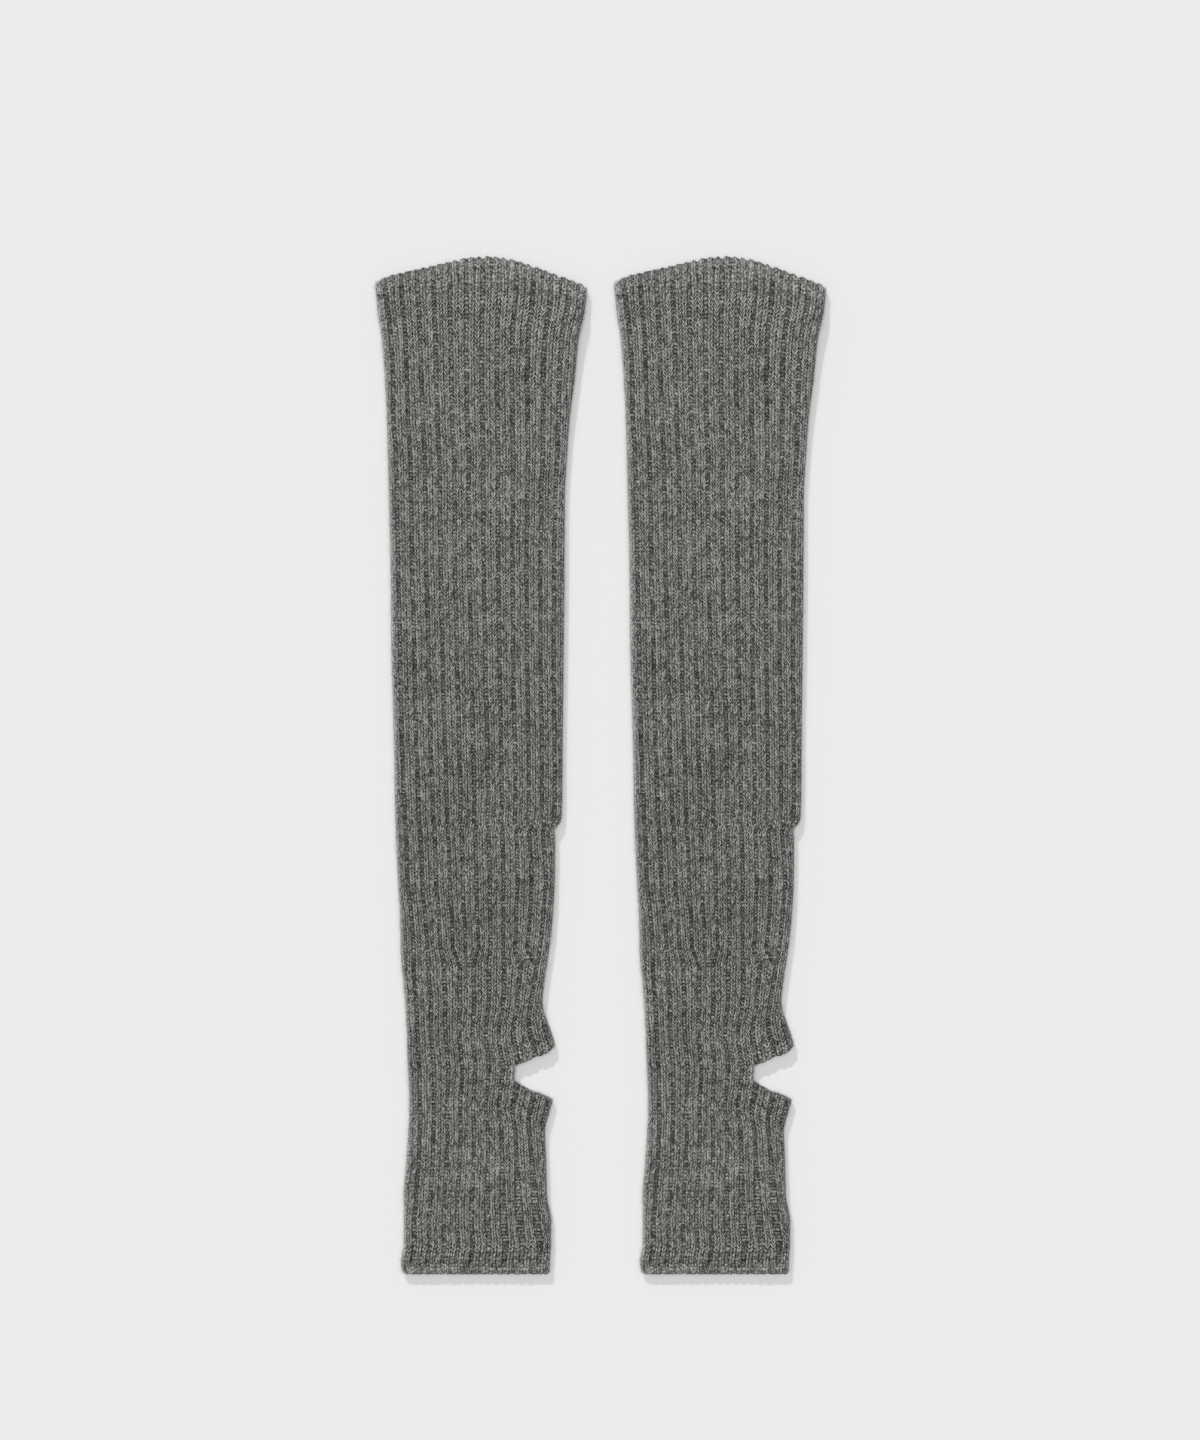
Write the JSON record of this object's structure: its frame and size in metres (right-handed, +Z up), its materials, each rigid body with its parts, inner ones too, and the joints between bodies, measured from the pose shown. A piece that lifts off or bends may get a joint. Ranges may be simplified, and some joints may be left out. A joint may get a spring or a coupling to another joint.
{
  "type": "pair of leg warmers",
  "caption": "Long ribbed wool leg warmers lying flat side by side, with an arched thigh welt, a narrow foot welt and an open heel notch on one fold.",
  "frame": {"origin": "middle of the pair's footprint, on the surface that it lies on", "axes": "+X across the pair, towards the folds with the heel notches; +Y along the legs, from the foot ends to the thigh ends; +Z up, away from the surface"},
  "size_m": [0.2877, 0.6513, 0.0055],
  "materials": {
    "wool_rib": "matt heather-grey wool in two-by-two rib, slightly fuzzy",
    "wool_welt": "matt heather-grey wool in fine rib, slightly fuzzy"
  },
  "bodies": {
    "root": {"left_leg_tube": "wool_rib", "left_top_welt": "wool_welt", "left_foot_welt": "wool_welt", "right_leg_tube": "wool_rib", "right_top_welt": "wool_welt", "right_foot_welt": "wool_welt"}
  },
  "joints": []
}
